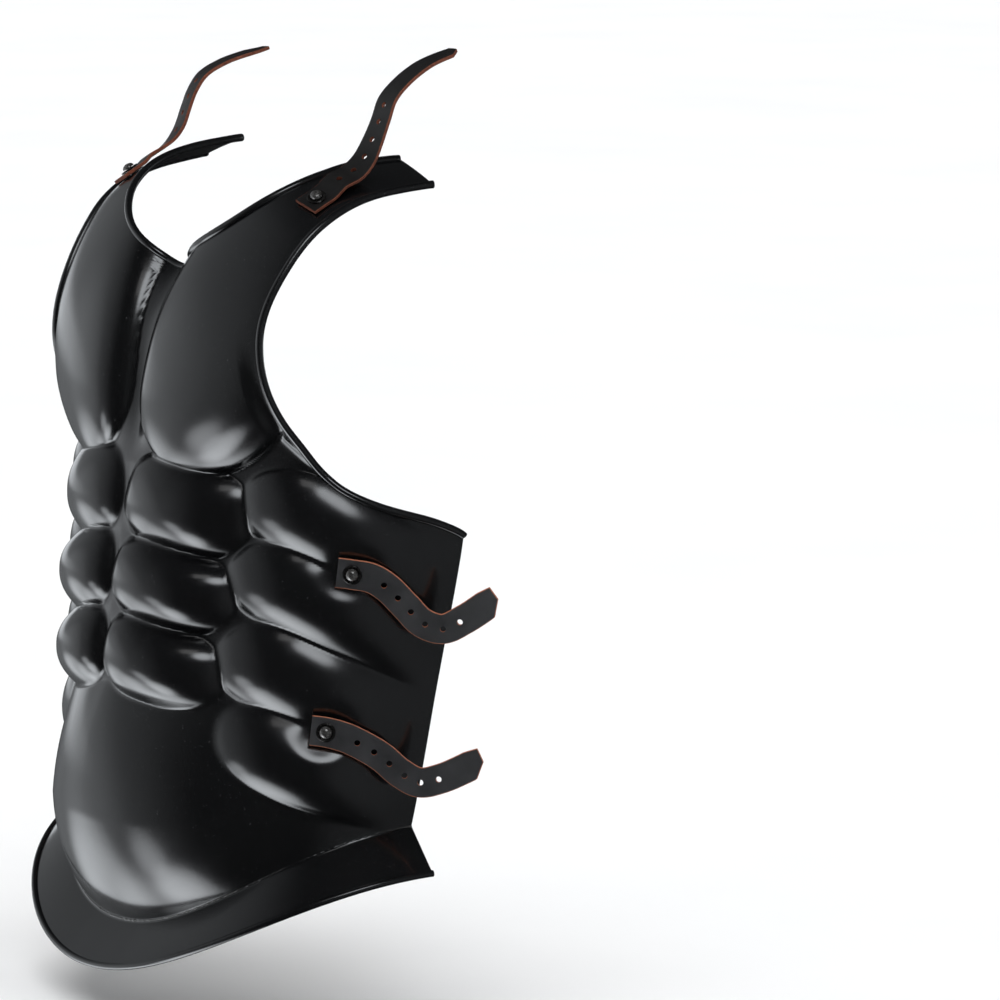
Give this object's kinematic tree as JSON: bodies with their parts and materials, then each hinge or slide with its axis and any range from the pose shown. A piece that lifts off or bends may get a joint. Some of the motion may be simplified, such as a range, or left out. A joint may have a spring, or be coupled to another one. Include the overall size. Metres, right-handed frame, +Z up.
{
  "type": "steel muscle breastplate",
  "caption": "Front half of a muscle cuirass: black steel breastplate with a flared waist flange, rolled edges and riveted leather straps.",
  "frame": {"origin": "between the shoulder tabs, on the wearer's shoulder line, where the plate hangs on the wearer", "axes": "+X to the wearer's left, -Y out of the chest, +Z up the body"},
  "size_m": [0.43, 0.215, 0.5879],
  "materials": {
    "black_painted_steel": "black satin-gloss paint",
    "black_leather": "grained black with raw tan edges",
    "dark_rivet_steel": "blackened, slightly worn"
  },
  "bodies": {
    "root": {"breast_shell": "black_painted_steel", "lower_side_rivet_left": "dark_rivet_steel", "lower_side_rivet_right": "dark_rivet_steel", "lower_side_washer_left": "dark_rivet_steel", "lower_side_washer_right": "dark_rivet_steel", "shoulder_rivet_left": "dark_rivet_steel", "shoulder_rivet_right": "dark_rivet_steel", "shoulder_strap_left": "black_leather", "shoulder_strap_right": "black_leather", "shoulder_washer_left": "dark_rivet_steel", "shoulder_washer_right": "dark_rivet_steel", "side_strap_lower_left": "black_leather", "side_strap_lower_right": "black_leather", "side_strap_upper_left": "black_leather", "side_strap_upper_right": "black_leather", "upper_side_rivet_left": "dark_rivet_steel", "upper_side_rivet_right": "dark_rivet_steel", "upper_side_washer_left": "dark_rivet_steel", "upper_side_washer_right": "dark_rivet_steel"}
  },
  "joints": []
}
